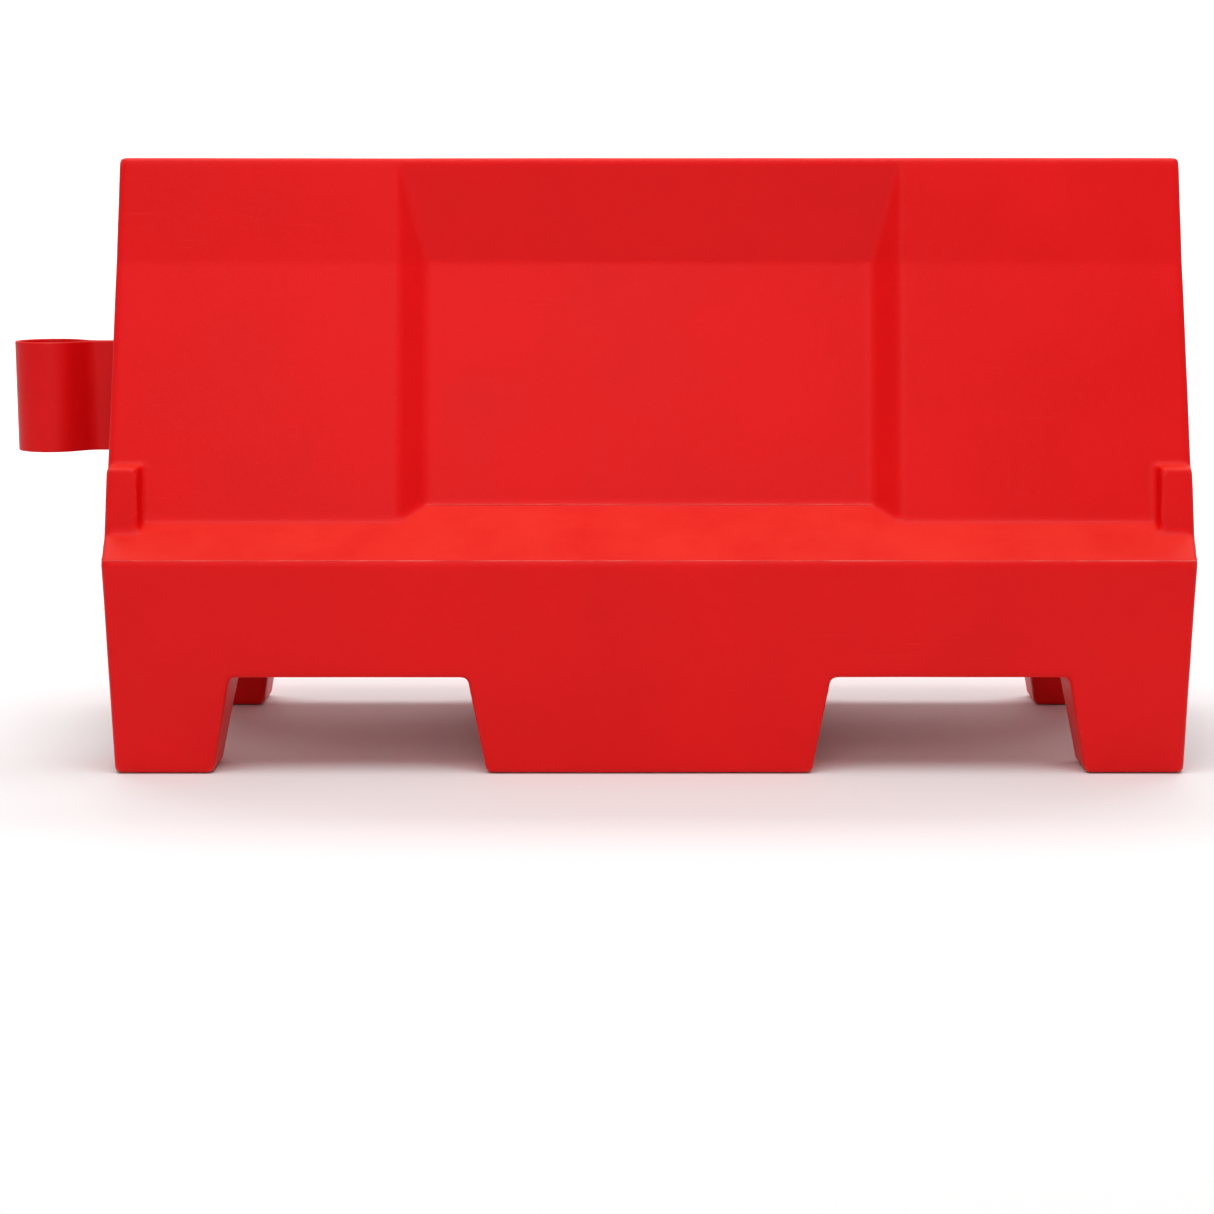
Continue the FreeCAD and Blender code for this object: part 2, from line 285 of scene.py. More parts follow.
def netted(piece, voxel):
    """Gives a piece an even net of small faces, laid on its own surface."""
    surface = new_piece(piece.name + "_surface", piece.data.copy())
    modifier = piece.modifiers.new("net", "REMESH")
    modifier.mode = "VOXEL"
    modifier.voxel_size = voxel
    settle(piece)
    modifier = piece.modifiers.new("lay", "SHRINKWRAP")
    modifier.target = surface
    modifier.wrap_method = "NEAREST_SURFACEPOINT"
    settle(piece)
    bpy.data.objects.remove(surface)


def thinned(piece, most):
    """Takes faces away where a piece is flattest, down to a number of triangles."""
    count = sum(len(face.vertices) - 2 for face in piece.data.polygons)
    modifier = piece.modifiers.new("thin", "DECIMATE")
    modifier.ratio = min(1.0, most / count)
    settle(piece)


def shader_group(name, inputs, outputs):
    """A new shader group with float inputs and outputs, its input node and its output node."""
    tree = bpy.data.node_groups.new(name, "ShaderNodeTree")
    for wanted, value in inputs.items():
        socket(tree, wanted, "Float", value)
    for wanted in outputs:
        socket(tree, wanted, "Float", way="OUTPUT")
    return tree, tree.nodes.new("NodeGroupInput").outputs, tree.nodes.new("NodeGroupOutput").inputs


def noise_at(tree, vector, scale, detail=2.0, roughness=0.5):
    """Noise at a scale, as a link."""
    made = node(tree, "ShaderNodeTexNoise", {"Vector": vector, "Scale": scale, "Detail": detail,
                                             "Roughness": roughness})
    return made.outputs["Fac"]


def ramped(tree, value, low, high, smooth=True):
    """A value brought from between two limits to between 0 and 1."""
    made = node(tree, "ShaderNodeMapRange", {"Value": value, "From Min": low, "From Max": high},
                interpolation_type="SMOOTHSTEP" if smooth else "LINEAR")
    return made.outputs["Result"]


def moulded_grain():
    """Grain of a moulded skin: the pits of the mould and slow patches of tone."""
    tree, given, out = shader_group("moulded_grain", {"Pits per metre": 900.0,
                                                      "Patches per metre": 9.0},
                                    ("Height", "Patches", "Specks"))
    place = node(tree, "ShaderNodeTexCoord").outputs["Object"]
    coarse = noise_at(tree, place, given["Pits per metre"], 3.0, 0.6)
    peel = noise_at(tree, place, maths(tree, "MULTIPLY", given["Pits per metre"], 0.16), 1.0)
    tree.links.new(maths(tree, "MULTIPLY_ADD", peel, 1.6, coarse), out["Height"])
    patches = noise_at(tree, place, given["Patches per metre"], 4.0, 0.55)
    tree.links.new(ramped(tree, patches, 0.3, 0.7), out["Patches"])
    specks = noise_at(tree, place, maths(tree, "MULTIPLY", given["Pits per metre"], 1.1), 1.0)
    tree.links.new(ramped(tree, specks, 0.70, 0.78), out["Specks"])
    return tree


def worn_edges():
    """Mask of the outer edges, broken up along their length, where they are rubbed pale and where a
    highlight is painted along them.
    """
    tree, given, out = shader_group("worn_edges", {"From": 0.25, "To": 1.0,
                                                   "Breaks per metre": 60.0}, ("Mask",))
    edge = node(tree, "ShaderNodeAttribute", attribute_name="edge").outputs["Fac"]
    place = node(tree, "ShaderNodeTexCoord").outputs["Object"]
    breaks = ramped(tree, noise_at(tree, place, given["Breaks per metre"], 4.0, 0.65), 0.40, 0.62)
    rubbed_and_highlit = ramped(tree, edge, given["From"], given["To"])
    tree.links.new(maths(tree, "MULTIPLY", rubbed_and_highlit, breaks), out["Mask"])
    return tree


def scuffs():
    """Mask of short level scratches, as from stacking and dragging."""
    tree, given, out = shader_group("scuffs", {"Per metre": 14.0, "Amount": 0.5}, ("Mask",))
    place = node(tree, "ShaderNodeTexCoord").outputs["Object"]
    stretched = node(tree, "ShaderNodeMapping", {"Vector": place, "Scale": (1.0, 3.0, 22.0),
                                                 "Rotation": (0.0, 0.12, 0.0)})
    streaks = noise_at(tree, stretched.outputs[0], given["Per metre"], 2.0, 0.6)
    where = noise_at(tree, place, 5.0, 2.0)
    fine = maths(tree, "MULTIPLY", ramped(tree, streaks, 0.66, 0.72), ramped(tree, where, 0.5, 0.66))
    tree.links.new(maths(tree, "MULTIPLY", fine, given["Amount"]), out["Mask"])
    return tree


def settled_dust():
    """Mask of faces that look up, stronger in some places than in others: settled dust, and on the red
    polyethylene painted light from above.
    """
    tree, given, out = shader_group("settled_dust", {"Amount": 0.5, "Patches per metre": 12.0},
                                    ("Mask",))
    coordinates = node(tree, "ShaderNodeTexCoord").outputs
    up = node(tree, "ShaderNodeSeparateXYZ", {0: coordinates["Normal"]}).outputs["Z"]
    patches = noise_at(tree, coordinates["Object"], given["Patches per metre"], 5.0, 0.6)
    lies = maths(tree, "MULTIPLY", ramped(tree, up, 0.55, 0.98), ramped(tree, patches, -0.2, 0.9))
    tree.links.new(maths(tree, "MULTIPLY", lies, given["Amount"]), out["Mask"])
    return tree


def placed_group(tree, group, **inputs):
    """A shader group put into a material with its own values; gives its outputs."""
    made = tree.nodes.new("ShaderNodeGroup")
    made.node_tree = group
    for name, value in inputs.items():
        made.inputs[name.replace("_", " ")].default_value = value
    return made.outputs


def blended(tree, mask, first, second):
    """One colour, or link, turned into another where a mask says."""
    made = node(tree, "ShaderNodeMix", data_type="RGBA")
    colours = [s for s in made.inputs if s.type == "RGBA"]
    tree.links.new(mask, made.inputs[0])
    for wanted, slot in zip((first, second), colours):
        if isinstance(wanted, bpy.types.NodeSocket):
            tree.links.new(wanted, slot)
        else:
            slot.default_value = wanted
    return next(s for s in made.outputs if s.type == "RGBA")


def new_material(name, specular):
    """A material with an empty Principled surface; gives it, its tree and the surface."""
    made = bpy.data.materials.new(name)
    made.use_nodes = True
    surface = made.node_tree.nodes["Principled BSDF"]
    surface.inputs["Specular IOR Level"].default_value = specular
    return made, made.node_tree, surface


def raise_bump(tree, surface, height, distance):
    """Feeds a height, in units of distance, to the surface's normal."""
    bump = node(tree, "ShaderNodeBump", {"Height": height, "Distance": distance, "Strength": 1.0})
    tree.links.new(bump.outputs[0], surface.inputs["Normal"])


GRAIN, EDGE_WEAR_AND_HIGHLIGHT, SCUFFS, TOP_LIGHT_AND_DUST = moulded_grain(), worn_edges(), scuffs(), settled_dust()


def red_polyethylene(name, plain, deep, wear_and_highlight, lit_top_and_dust, rubbed_and_highlit):
    """Satin rotomoulded polyethylene, coloured right through, paler where it is rubbed, with a painted
    highlight along its outer edges and painted light from above on the faces that look up.
    """
    made, tree, surface = new_material(name, 0.17)
    grain = placed_group(tree, GRAIN, Pits_per_metre=620.0, Patches_per_metre=7.0)
    edges = placed_group(tree, EDGE_WEAR_AND_HIGHLIGHT, From=rubbed_and_highlit[0], To=rubbed_and_highlit[1], Breaks_per_metre=190.0)["Mask"]
    marks = placed_group(tree, SCUFFS, Per_metre=16.0, Amount=0.16)["Mask"]
    top_light_and_dust_mask = placed_group(tree, TOP_LIGHT_AND_DUST, Amount=0.55, Patches_per_metre=14.0)["Mask"]
    colour = blended(tree, grain["Patches"], deep, plain)
    colour = blended(tree, maths(tree, "MULTIPLY", grain["Specks"], 0.20), colour, wear_and_highlight)
    # Faces that look up turn a paler red in patches: painted light from above; the same mask makes them
    # rougher, as dust does.
    colour = blended(tree, top_light_and_dust_mask, colour, lit_top_and_dust)
    # Outer edges and scuffs turn pale: the scuffs are wear, and the outer edges are rubbed and carry a
    # painted highlight as well.
    pale = maths(tree, "MULTIPLY", maths(tree, "MAXIMUM", edges, marks), 0.5)
    colour = blended(tree, pale, colour, wear_and_highlight)
    tree.links.new(colour, surface.inputs["Base Color"])
    rough = maths(tree, "MULTIPLY_ADD", grain["Patches"], 0.06, 0.40)
    rough = maths(tree, "MULTIPLY_ADD", top_light_and_dust_mask, 0.5, rough)
    tree.links.new(maths(tree, "MULTIPLY_ADD", marks, 0.2, rough), surface.inputs["Roughness"])
    scratched = maths(tree, "MULTIPLY_ADD", marks, -1.5, grain["Height"])
    raise_bump(tree, surface, scratched, 0.00013)
    return made


red = red_polyethylene("tank_polyethylene", TANK_RED, TANK_RED_DEEP, TANK_WEAR_AND_HIGHLIGHT, TANK_LIT_TOP_AND_DUST,
                       (0.9, 2.4))
skin_tree = moulded_skin_tree()
tank = new_piece("tank_body", outer_skin("tank_shell", [
    bore_for("filler_neck", 2), bore_for("drain_socket_front", 0), bore_for("drain_socket_rear", 0)]))
rounded(tank, EDGE_RADIUS)
netted(tank, SKIN_VOXEL)
run_tree(tank, skin_tree, rounding=SKIN_ROUNDING, edge_reach=EDGE_REACH, wave_height=PANEL_WAVE,
         wave_size=PANEL_WAVE_SIZE, finish=red)
thinned(tank, SKIN_FACES)
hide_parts("tank_shell")
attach(tank, "tank")


# ---- the parting lines ------------------------------------------------------------------
# The halves of the mould meet round the shoulder and leave a low bead of flash there, trimmed
# by hand with a knife, so it is nicked and paler than the skin. The bottom crease of each
# side recess keeps a finer one, where the mould's insert sits; its pale tone there also paints
# the highlight along that crease.
BEAD_RADIUS = 0.00075
BEAD_STEP = 0.003
BEAD_WAVER = 0.55
CREASE_RADIUS = 0.0006
CREASE_LIFT = 0.0010          # the skin fills its inner corners by this much
CREASE_TURN = 0.1
CREASE_REACH = 0.25           # the creases lie within these limits of X, Y and Z
CREASE_SIDES = (0.10, 0.13)
CREASE_HEIGHTS = (0.22, 0.25)
BEAD_RED = (0.83, 0.11, 0.085, 1)
BEAD_RED_DEEP = (0.72, 0.020, 0.020, 1)
SHOULDER = 0.195
TUNNEL_SIDE = 0.0955


def bead_tree():
    """A thin bead along edges, whose thickness wavers and drops at nicks."""
    tree, given = geometry_tree("parting_bead", ("Bead radius", "Float", 0.0007),
                                ("Step", "Float", 0.003), ("Waver", "Float", 0.5),
                                ("Nicks per metre", "Float", 22.0))
    line = node(tree, "GeometryNodeMeshToCurve", {0: given["Geometry"]})
    line = node(tree, "GeometryNodeResampleCurve", {"Curve": line.outputs[0],
                                                    "Length": given["Step"]}, mode="LENGTH")
    place = node(tree, "GeometryNodeInputPosition").outputs[0]
    waver = node(tree, "ShaderNodeTexNoise", {"Vector": place, "Scale": 160.0, "Detail": 2.0})
    nicks = node(tree, "ShaderNodeTexNoise", {"Vector": place, "Scale": given["Nicks per metre"],
                                              "Detail": 0.0})
    thick = maths(tree, "MULTIPLY_ADD", waver.outputs[0], given["Waver"],
                  maths(tree, "SUBTRACT", 1.0, given["Waver"]))
    cut = node(tree, "ShaderNodeMapRange", {"Value": nicks.outputs[0], "From Min": 0.30,
                                            "From Max": 0.40, "To Min": 0.35})
    thick = maths(tree, "MULTIPLY", thick, cut.outputs[0])
    section = node(tree, "GeometryNodeCurvePrimitiveCircle", {"Resolution": 6,
                                                              "Radius": given["Bead radius"]})
    solid = node(tree, "GeometryNodeCurveToMesh", {"Curve": line.outputs[0], "Scale": thick,
                                                   "Profile Curve": section.outputs[0],
                                                   "Fill Caps": True})
    return finish_tree(tree, solid.outputs[0], given)


def shoulder_line(mesh):
    """The outer edge of a skin at the height of the shoulder, as a mesh of edges."""
    form = bmesh.new()
    form.from_mesh(mesh)
    everything = form.verts[:] + form.edges[:] + form.faces[:]
    bmesh.ops.bisect_plane(form, geom=everything, plane_co=(0, 0, SHOULDER), plane_no=(0, 0, 1),
                           clear_inner=True, clear_outer=True)
    inner = [v for v in form.verts if abs(v.co.y) < TUNNEL_SIDE]
    bmesh.ops.delete(form, geom=inner, context="VERTS")
    line = bpy.data.meshes.new("shoulder_line")
    form.to_mesh(line)
    form.free()
    return line


def recess_creases(node_name):
    """The level inner corners above the shoulder, between the two ends of the recesses."""
    form = bmesh.new()
    form.from_mesh(frame["nodes"][node_name].data)
    bmesh.ops.remove_doubles(form, verts=form.verts, dist=SAME_POINT)
    kept = []
    for edge in form.edges:
        middle = (edge.verts[0].co + edge.verts[1].co) / 2
        level = abs(edge.verts[0].co.z - edge.verts[1].co.z) < SAME_POINT
        near = (abs(middle.x) < CREASE_REACH
                and CREASE_SIDES[0] < abs(middle.y) < CREASE_SIDES[1]
                and CREASE_HEIGHTS[0] < middle.z < CREASE_HEIGHTS[1])
        if level and near and edge.calc_face_angle_signed(0) < -CREASE_TURN:
            out = sum((face.normal for face in edge.link_faces), Vector()).normalized()
            kept.append([v.co + CREASE_LIFT * out for v in edge.verts])
    form.free()
    line = bpy.data.meshes.new("recess_creases")
    line.from_pydata([co for pair in kept for co in pair],
                     [(2 * i, 2 * i + 1) for i in range(len(kept))], [])
    return line


def pale_bead():
    """Trimmed flash: the tank's own polyethylene, cut and stress-whitened; along the recess creases its
    pale tone is also a painted highlight.
    """
    made, tree, surface = new_material("trimmed_flash", 0.25)
    grain = placed_group(tree, GRAIN, Pits_per_metre=700.0, Patches_per_metre=34.0)
    # Paler than the skin: whitened flash, and a painted highlight along the recess creases.
    colour = blended(tree, grain["Patches"], BEAD_RED_DEEP, BEAD_RED)
    tree.links.new(colour, surface.inputs["Base Color"])
    rough = maths(tree, "MULTIPLY_ADD", grain["Patches"], 0.15, 0.42)
    tree.links.new(rough, surface.inputs["Roughness"])
    raise_bump(tree, surface, grain["Height"], 0.00008)
    return made


flash_and_crease_highlight = pale_bead()
beads = bead_tree()
for name, path, radius in (("parting_line", shoulder_line(tank.data), BEAD_RADIUS),
                           ("recess_crease_line", recess_creases("tank_shell"), CREASE_RADIUS)):
    piece = new_piece(name, path)
    run_tree(piece, beads, bead_radius=radius, step=BEAD_STEP, waver=BEAD_WAVER,
             nicks_per_metre=22.0, finish=flash_and_crease_highlight)
    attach(piece, "tank")


# ---- the link clip ----------------------------------------------------------------------
# A hollow polyethylene extrusion of two round lobes and a flat waist, sawn to length and
# eased at its ends. One lobe hangs in the keyway of the left-hand end and turns there.
CLIP_EDGE_RADIUS = 0.0010
CLIP_VOXEL = 0.0011
CLIP_FACES = 60000
CLIP_RED = (0.67, 0.0028, 0.0044, 1)
CLIP_RED_DEEP = (0.58, 0.0014, 0.0022, 1)

clip_red = red_polyethylene("clip_polyethylene", CLIP_RED, CLIP_RED_DEEP, TANK_WEAR_AND_HIGHLIGHT, TANK_LIT_TOP_AND_DUST,
                            (0.35, 1.1))
clip = new_piece("link_clip_body", outer_skin("link_clip", []))
rounded(clip, CLIP_EDGE_RADIUS)
netted(clip, CLIP_VOXEL)
run_tree(clip, skin_tree, rounding=1, edge_reach=5, wave_height=0.0003, wave_size=0.05,
         finish=clip_red)
thinned(clip, CLIP_FACES)
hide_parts("link_clip")
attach(clip, "link")


# ---- the filler -------------------------------------------------------------------------
# A threaded bush of black glass-filled plastic is moulded into the floor of a round well in
# the top. A hand-turned bung with a ribbed rim and a waisted wing screws into it and squeezes
# a flat rubber washer.
TURNS_OF_A_LATHE = 96
EASE = 0.0008
FILLER_FLANGE = 0.003
FILLER_HEAD = 0.007
FILLER_RIBS = 54
FILLER_RIB = 0.0011
THREAD_DEPTH = 0.0009
FILLER_WING = (0.0576, 0.0114)
STEM_WALL = 0.0062


def eased(outline, ease, steps=3):
    """A closed outline with each corner rounded off."""
    result = []
    for i, corner in enumerate(outline):
        before, after = Vector(outline[i - 1]), Vector(outline[(i + 1) % len(outline)])
        corner = Vector(corner)
        cut = min(ease, 0.45 * (before - corner).length, 0.45 * (after - corner).length)
        first = corner + (before - corner).normalized() * cut
        last = corner + (after - corner).normalized() * cut
        for step in range(steps + 1):
            t = step / steps
            result.append((1 - t) ** 2 * first + 2 * t * (1 - t) * corner + t ** 2 * last)
    return result


def mark_edges(form):
    """Writes how far each vertex stands out from its neighbours, for the pale edges."""
    layer = form.verts.layers.float.new("edge")
    for vertex in form.verts:
        angles = [e.calc_face_angle_signed(0.0) for e in vertex.link_edges if len(e.link_faces) == 2]
        vertex[layer] = max(angles, default=0.0)


def closed_piece(name, form, finish):
    """Merges and closes a form, turns its faces out and makes it a piece."""
    bmesh.ops.remove_doubles(form, verts=form.verts, dist=SAME_POINT / 2)
    bmesh.ops.recalc_face_normals(form, faces=form.faces)
    for face in form.faces:
        face.smooth = True
    mark_edges(form)
    mesh = bpy.data.meshes.new(name)
    form.to_mesh(mesh)
    form.free()
    mesh.materials.append(finish)
    return new_piece(name, mesh)


def turned(name, outline, finish):
    """A piece turned round the Z axis from a closed outline of radius and height."""
    form = bmesh.new()
    rings = []
    for turn in range(TURNS_OF_A_LATHE):
        angle = 2 * math.pi * turn / TURNS_OF_A_LATHE
        rings.append([form.verts.new((r * math.cos(angle), r * math.sin(angle), z))
                      for r, z in outline])
    for turn, ring in enumerate(rings):
        further = rings[(turn + 1) % TURNS_OF_A_LATHE]
        for i in range(len(ring)):
            j = (i + 1) % len(ring)
            form.faces.new((ring[i], ring[j], further[j], further[i]))
    return closed_piece(name, form, finish)


def hand_wing(name, length, width, bottom, top, finish):
    """A wing to turn a bung by: waisted in plan, with its crown rolled over."""
    form = bmesh.new()
    outline = []
    steps = 24
    for side in (1, -1):
        for step in range(steps + 1):
            along = side * length / 2 * math.cos(math.pi * step / steps)
            waist = 0.66 + 0.34 * (2 * along / length) ** 2
            round_end = math.sqrt(max(0.0, 1 - (2 * abs(along) / length) ** 10))
            outline.append((along, side * width / 2 * waist * round_end))
    ease = width / 5
    levels = [(bottom, 0.0), (top - ease, 0.0)]
    levels += [(top - ease * (1 - math.sin(a)), ease * (1 - math.cos(a)))
               for a in (0.4, 0.8, 1.2, 1.57)]
    rings = []
    for z, inset in levels:
        shrink = (1 - 2 * inset / length, 1 - 2 * inset / width)
        rings.append([form.verts.new((x * shrink[0], y * shrink[1], z)) for x, y in outline])
    for low, high in zip(rings, rings[1:]):
        for i in range(len(low)):
            j = (i + 1) % len(low)
            form.faces.new((low[i], low[j], high[j], high[i]))
    form.faces.new(rings[0])
    form.faces.new(rings[-1])
    return closed_piece(name, form, finish)


def thread_tree():
    """A screw thread: a ridge wound round the Z axis."""
    tree, given = geometry_tree("screw_thread", ("Radius", "Float", 0.02),
                                ("Pitch", "Float", 0.006), ("Length", "Float", 0.02),
                                ("Depth", "Float", 0.001), ("Bottom", "Float", 0.0), shape=False)
    turns = maths(tree, "DIVIDE", given["Length"], given["Pitch"])
    spiral = node(tree, "GeometryNodeCurveSpiral",
                  {"Resolution": 64, "Rotations": turns, "Start Radius": given["Radius"],
                   "End Radius": given["Radius"], "Height": given["Length"]})
    upright = node(tree, "GeometryNodeSetCurveNormal", {0: spiral.outputs[0]}, mode="Z_UP")
    section = node(tree, "GeometryNodeCurvePrimitiveCircle", {"Resolution": 4,
                                                              "Radius": given["Depth"]})
    ridge = node(tree, "GeometryNodeCurveToMesh", {"Curve": upright.outputs[0],
                                                   "Profile Curve": section.outputs[0],
                                                   "Fill Caps": True})
    lift = node(tree, "ShaderNodeCombineXYZ", {"Z": given["Bottom"]})
    moved = node(tree, "GeometryNodeSetPosition", {"Geometry": ridge.outputs[0],
                                                   "Offset": lift.outputs[0]})
    return finish_tree(tree, moved.outputs[0], given)


def rim_ribs_tree():
    """Small round ribs that stand in a circle, to give a rim grip."""
    tree, given = geometry_tree("rim_ribs", ("Count", "Int", 48), ("Radius", "Float", 0.03),
                                ("Rib radius", "Float", 0.001), ("Rib height", "Float", 0.005),
                                ("Bottom", "Float", 0.0), shape=False)
    circle = node(tree, "GeometryNodeMeshCircle", {"Vertices": given["Count"],
                                                   "Radius": given["Radius"]})
    rib = node(tree, "GeometryNodeMeshCylinder", {"Vertices": 10, "Side Segments": 1,
                                                  "Radius": given["Rib radius"],
                                                  "Depth": given["Rib height"]})
    ribs = node(tree, "GeometryNodeInstanceOnPoints", {"Points": circle.outputs[0],
                                                       "Instance": rib.outputs[0]})
    half = maths(tree, "MULTIPLY_ADD", given["Rib height"], 0.5, given["Bottom"])
    lift = node(tree, "ShaderNodeCombineXYZ", {"Z": half})
    moved = node(tree, "GeometryNodeTranslateInstances",
                 {"Instances": ribs.outputs[0], "Translation": lift.outputs[0],
                  "Local Space": False})
    return finish_tree(tree, moved.outputs[0], given)


def black_plastic(name, colour, pale, roughness, pits):
    """Moulded black plastic with a fine spark-eroded grain, greyer where it is handled."""
    made, tree, surface = new_material(name, 0.45)
    grain = placed_group(tree, GRAIN, Pits_per_metre=pits, Patches_per_metre=60.0)
    edges = placed_group(tree, EDGE_WEAR_AND_HIGHLIGHT, From=0.12, To=0.55, Breaks_per_metre=260.0)["Mask"]
    top_light_and_dust_mask = placed_group(tree, TOP_LIGHT_AND_DUST, Amount=0.35, Patches_per_metre=70.0)["Mask"]
    tone = blended(tree, grain["Patches"], colour, [1.35 * c for c in colour[:3]] + [1])
    tone = blended(tree, maths(tree, "MULTIPLY", edges, 0.7), tone, pale)
    tone = blended(tree, maths(tree, "MULTIPLY", top_light_and_dust_mask, 0.5), tone, (0.19, 0.15, 0.13, 1))
    tree.links.new(tone, surface.inputs["Base Color"])
    rough = maths(tree, "MULTIPLY_ADD", grain["Patches"], 0.08, roughness)
    tree.links.new(maths(tree, "MULTIPLY_ADD", top_light_and_dust_mask, 0.4, rough), surface.inputs["Roughness"])
    raise_bump(tree, surface, grain["Height"], 0.00004)
    return made


insert_black = black_plastic("insert_plastic", (0.030, 0.030, 0.032, 1), (0.12, 0.12, 0.12, 1),
                             0.55, 2600.0)
bung_black = black_plastic("bung_plastic", (0.040, 0.040, 0.043, 1), (0.16, 0.16, 0.165, 1),
                           0.36, 1900.0)
washer_black = black_plastic("washer_rubber", (0.020, 0.020, 0.020, 1), (0.06, 0.06, 0.06, 1),
                             0.68, 1400.0)
thread, ribs = thread_tree(), rim_ribs_tree()


def tree_piece(name, tree, **inputs):
    """A piece that is all made by a node tree, with its edges marked."""
    piece = new_piece(name, bpy.data.meshes.new(name))
    run_tree(piece, tree, **inputs)
    form = bmesh.new()
    form.from_mesh(piece.data)
    mark_edges(form)
    form.to_mesh(piece.data)
    form.free()
    return piece


def one_piece(name, pieces):
    """Several pieces as one mesh."""
    form = bmesh.new()
    finish = pieces[0].data.materials[0]
    for piece in pieces:
        form.from_mesh(piece.data)
        bpy.data.objects.remove(piece)
    for face in form.faces:
        face.material_index = 0
    mesh = bpy.data.meshes.new(name)
    form.to_mesh(mesh)
    form.free()
    mesh.materials.append(finish)
    return new_piece(name, mesh)


def screw_pitch(joint):
    """Travel of a coupled screw for one turn."""
    follows = {c["joint"]: c["ratio"] for c in frame["record"]["behaviour"]["couplings"]}
    return 2 * math.pi * follows[joint]


def stand_in_place(piece, axis, seat):
    """Turns a piece from +Z to its fitting's axis and moves it from z = 0 to the seat."""
    turn = Matrix.Rotation(math.pi / 2, 4, "Y") if axis == 0 else Matrix()
    piece.data.transform(Matrix.Translation(seat) @ turn)


def screwed_fitting(neck, seal, bung, axis, flange, head, rib_count, rib, depth, wing, wall, pitch):
    """Bush, washer and bung of one fitting, built upright with the washer's top at z = 0."""
    spans = [[corner[axis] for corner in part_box(name)] for name in (neck, seal, bung)]
    (neck_low, _), (seal_low, seat), (bung_low, bung_high) = spans
    across = 1 if axis == 0 else 0
    radii = [(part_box(name)[1][across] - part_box(name)[0][across]) / 2 for name in (neck, seal, bung)]
    flange_radius, seal_radius, head_radius = radii
    hole = bore_for(neck, axis)[2]
    stem = bore_for(bung, axis)[2]
    lip = seal_low - seat
    floor = lip - flange
    foot = neck_low - seat
    inner = stem + 2 * depth
    bush = turned(neck + "_bush", eased([
        (inner, foot), (hole, foot), (hole, floor), (flange_radius - rib, floor),
        (flange_radius - rib, lip), (inner + depth, lip), (inner, lip - depth)], EASE / 2), insert_black)
    lugs = tree_piece(neck + "_lugs", ribs, count=12, radius=flange_radius - rib,
                      rib_radius=rib, rib_height=flange * 0.9, bottom=floor, finish=insert_black)
    nut = tree_piece(neck + "_thread", thread, radius=inner + depth * 0.1, pitch=pitch,
                     length=-foot + lip - 3 * depth, depth=depth, bottom=foot + depth,
                     finish=insert_black)
    made = [(one_piece(neck + "_insert", [bush, lugs, nut]), neck)]
    bore = stem + 0.0003
    washer = turned(seal + "_ring", eased([
        (bore, lip), (seal_radius - EASE, lip), (seal_radius, lip / 2), (seal_radius - EASE, 0.0),
        (bore, 0.0)], EASE), washer_black)
    made.append((washer, seal))
    core = stem - depth
    rim = head_radius - rib
    plug = turned(bung + "_turned", eased([
        (0.0003, head - 2 * EASE), (0.0003, head / 2), (core - wall, head / 2 - EASE),
        (core - wall, bung_low - seat), (core, bung_low - seat), (core, 0.0), (rim - EASE, 0.0),
        (rim, EASE), (rim, head - 1.4 * EASE), (rim - 1.4 * EASE, head),
        (rim - 3.2 * EASE, head), (rim - 4.2 * EASE, head - EASE)], EASE), bung_black)
    grip = tree_piece(bung + "_ribs", ribs, count=rib_count, radius=rim, rib_radius=rib,
                      rib_height=head - 3.2 * EASE, bottom=1.2 * EASE, finish=bung_black)
    ridge = tree_piece(bung + "_thread", thread, radius=core, pitch=pitch,
                       length=seat - bung_low - 4 * depth, depth=depth,
                       bottom=bung_low - seat + depth, finish=bung_black)
    handle = hand_wing(bung + "_wing", *wing, head / 2, bung_high - seat, bung_black)
    made.append((one_piece(bung + "_body", [plug, grip, ridge, handle]), bung))
    centre = list(bore_for(neck, axis)[0])
    centre[axis] = seat
    bodies = {n: body for body, names in frame["record"]["behaviour"]["bodies"].items() for n in names}
    for piece, replaced in made:
        stand_in_place(piece, axis, centre)
        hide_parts(replaced)
        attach(piece, bodies[replaced])


screwed_fitting("filler_neck", "filler_seal", "filler_cap", 2, FILLER_FLANGE, FILLER_HEAD,
                FILLER_RIBS, FILLER_RIB, THREAD_DEPTH, FILLER_WING, STEM_WALL,
                screw_pitch("filler_cap_lift"))


# ---- the drains -------------------------------------------------------------------------
# Each leg empties through a smaller fitting of the same kind, low in its right-hand end, in a
# well deep enough to keep the plug's wing inside the end face when barriers are pushed up
# against each other.
DRAIN_FLANGE = 0.0025
DRAIN_HEAD = 0.004
DRAIN_RIBS = 36
DRAIN_RIB = 0.0008
DRAIN_THREAD_DEPTH = 0.0006
DRAIN_WING = (0.0284, 0.0056)
DRAIN_STEM_WALL = 0.0022

for side in ("front", "rear"):
    screwed_fitting("drain_socket_" + side, "drain_seal_" + side, "drain_plug_" + side, 0,
                    DRAIN_FLANGE, DRAIN_HEAD, DRAIN_RIBS, DRAIN_RIB, DRAIN_THREAD_DEPTH, DRAIN_WING,
                    DRAIN_STEM_WALL, screw_pitch("drain_plug_lift_" + side))


# ---- the studio -------------------------------------------------------------------------
# A pale floor that sweeps up into a backdrop far behind. One large soft lamp hangs above and a
# little in front, a weaker one stands further in front, a strong one lights the backdrop, and
# it is white all round.
FLOOR_SIZE = 16.0
SWEEP_START = 4.5
SWEEP_RADIUS = 2.5
BACKDROP_HEIGHT = 6.0
FLOOR_TONE = 0.80
SURROUND_LIGHT = 0.47
CAMERA_PLACE = (0.0, -2.5915, 0.527)
CAMERA_PITCH = 9.343          # degrees down
CAMERA_LENS = 80.5196         # millimetres
CAMERA_SHIFT = (-0.0348, 0.0186)


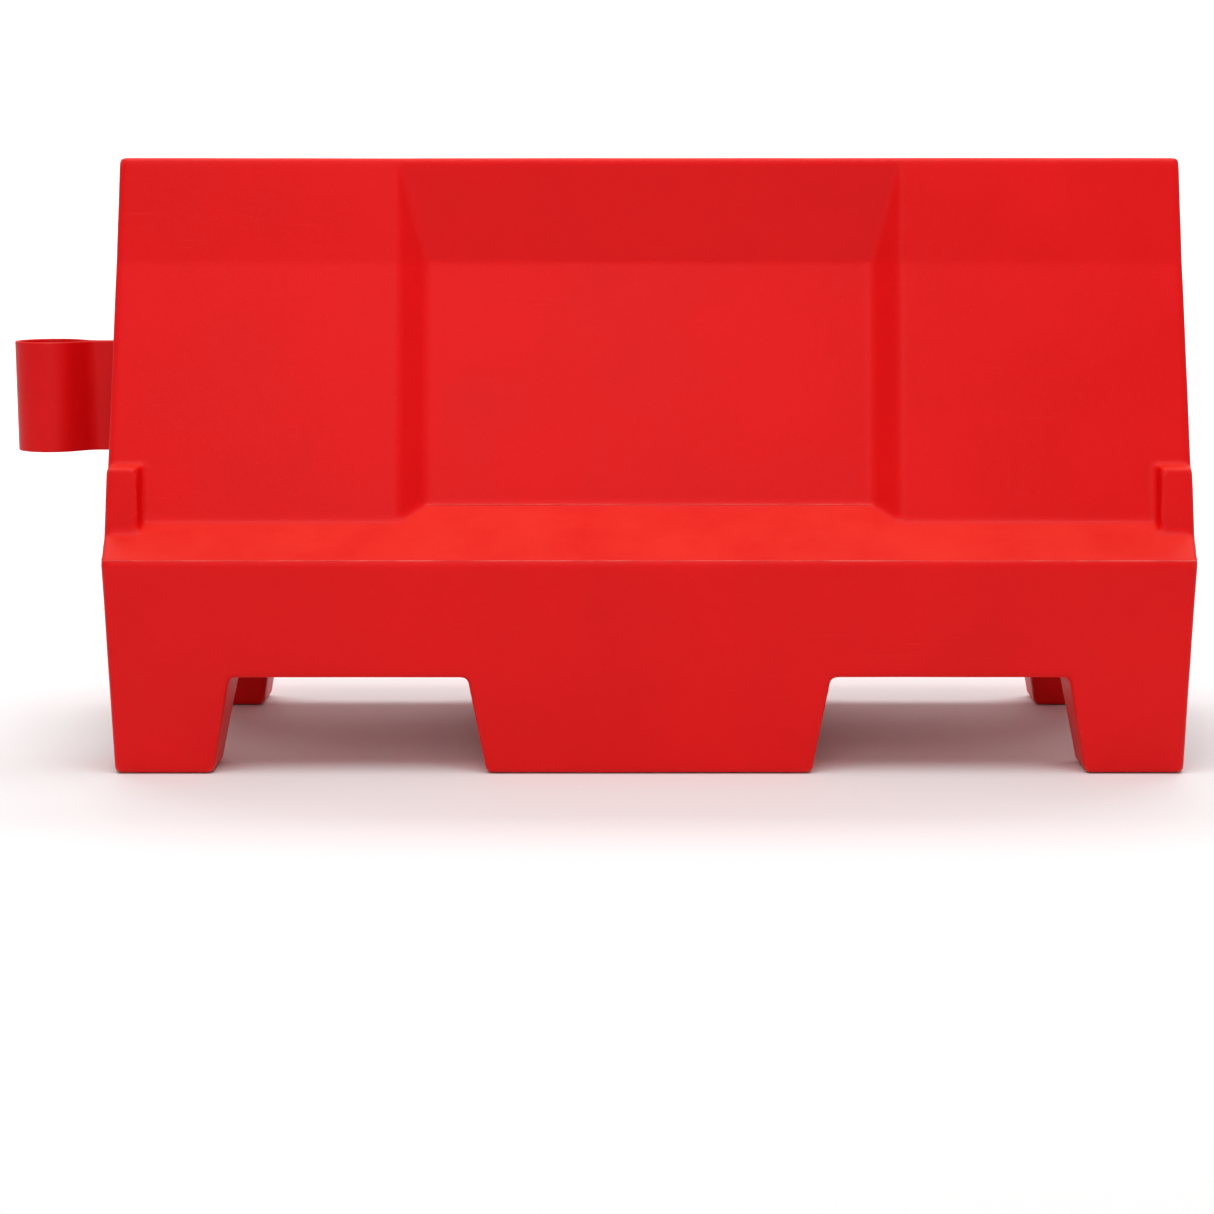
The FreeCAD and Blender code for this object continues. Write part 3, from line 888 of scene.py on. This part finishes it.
def sweep(name):
    """A floor that curves up into a wall."""
    form = bmesh.new()
    line = [(-FLOOR_SIZE / 2, 0.0), (SWEEP_START, 0.0)]
    steps = 24
    for step in range(1, steps + 1):
        angle = math.pi / 2 * step / steps
        line.append((SWEEP_START + SWEEP_RADIUS * math.sin(angle),
                     SWEEP_RADIUS * (1 - math.cos(angle))))
    line.append((SWEEP_START + SWEEP_RADIUS, BACKDROP_HEIGHT))
    rows = [[form.verts.new((side * FLOOR_SIZE / 2, y, z)) for side in (-1, 1)] for y, z in line]
    for near, far in zip(rows, rows[1:]):
        form.faces.new((near[0], near[1], far[1], far[0])).smooth = True
    mesh = bpy.data.meshes.new(name)
    form.to_mesh(mesh)
    form.free()
    return new_piece(name, mesh)


def softbox(name, place, target, size, power):
    """A rectangular lamp that points at a target."""
    light = bpy.data.lights.new(name, "AREA")
    light.shape = "RECTANGLE"
    light.size, light.size_y = size
    light.energy = power
    lamp = bpy.data.objects.new(name, light)
    lamp.location = place
    lamp.rotation_euler = (Vector(target) - Vector(place)).to_track_quat("-Z", "Y").to_euler()
    bpy.context.scene.collection.objects.link(lamp)


floor = sweep("studio_floor")
white, tree, surface = new_material("pale_floor", 0.3)
surface.inputs["Base Color"].default_value = (FLOOR_TONE, FLOOR_TONE, FLOOR_TONE, 1)
surface.inputs["Roughness"].default_value = 0.7
floor.data.materials.append(white)

world = bpy.data.worlds.new("studio")
world.use_nodes = True
world.node_tree.nodes["Background"].inputs["Color"].default_value = (1, 1, 1, 1)
world.node_tree.nodes["Background"].inputs["Strength"].default_value = SURROUND_LIGHT
bpy.context.scene.world = world
softbox("top_softbox", (0.0, -0.9, 2.5), (0, 0, 0.25), (2.6, 1.6), 43)
softbox("key_softbox", (-0.3, -2.9, 1.5), (0, 0, 0.3), (1.4, 1.4), 12)
softbox("backdrop_softbox", (0.0, 2.6, 4.6), (0, 6.0, 0.6), (7.0, 3.0), 420)
bpy.context.scene.view_settings.view_transform = "Standard"

camera_data = bpy.data.cameras.new("camera")
camera_data.sensor_width = 36.0
camera_data.lens = CAMERA_LENS
camera_data.shift_x, camera_data.shift_y = CAMERA_SHIFT
camera_data.clip_end = 40
camera = bpy.data.objects.new("camera", camera_data)
camera.location = CAMERA_PLACE
camera.rotation_euler = (math.radians(90 - CAMERA_PITCH), 0, 0)
bpy.context.scene.collection.objects.link(camera)
bpy.context.scene.camera = camera
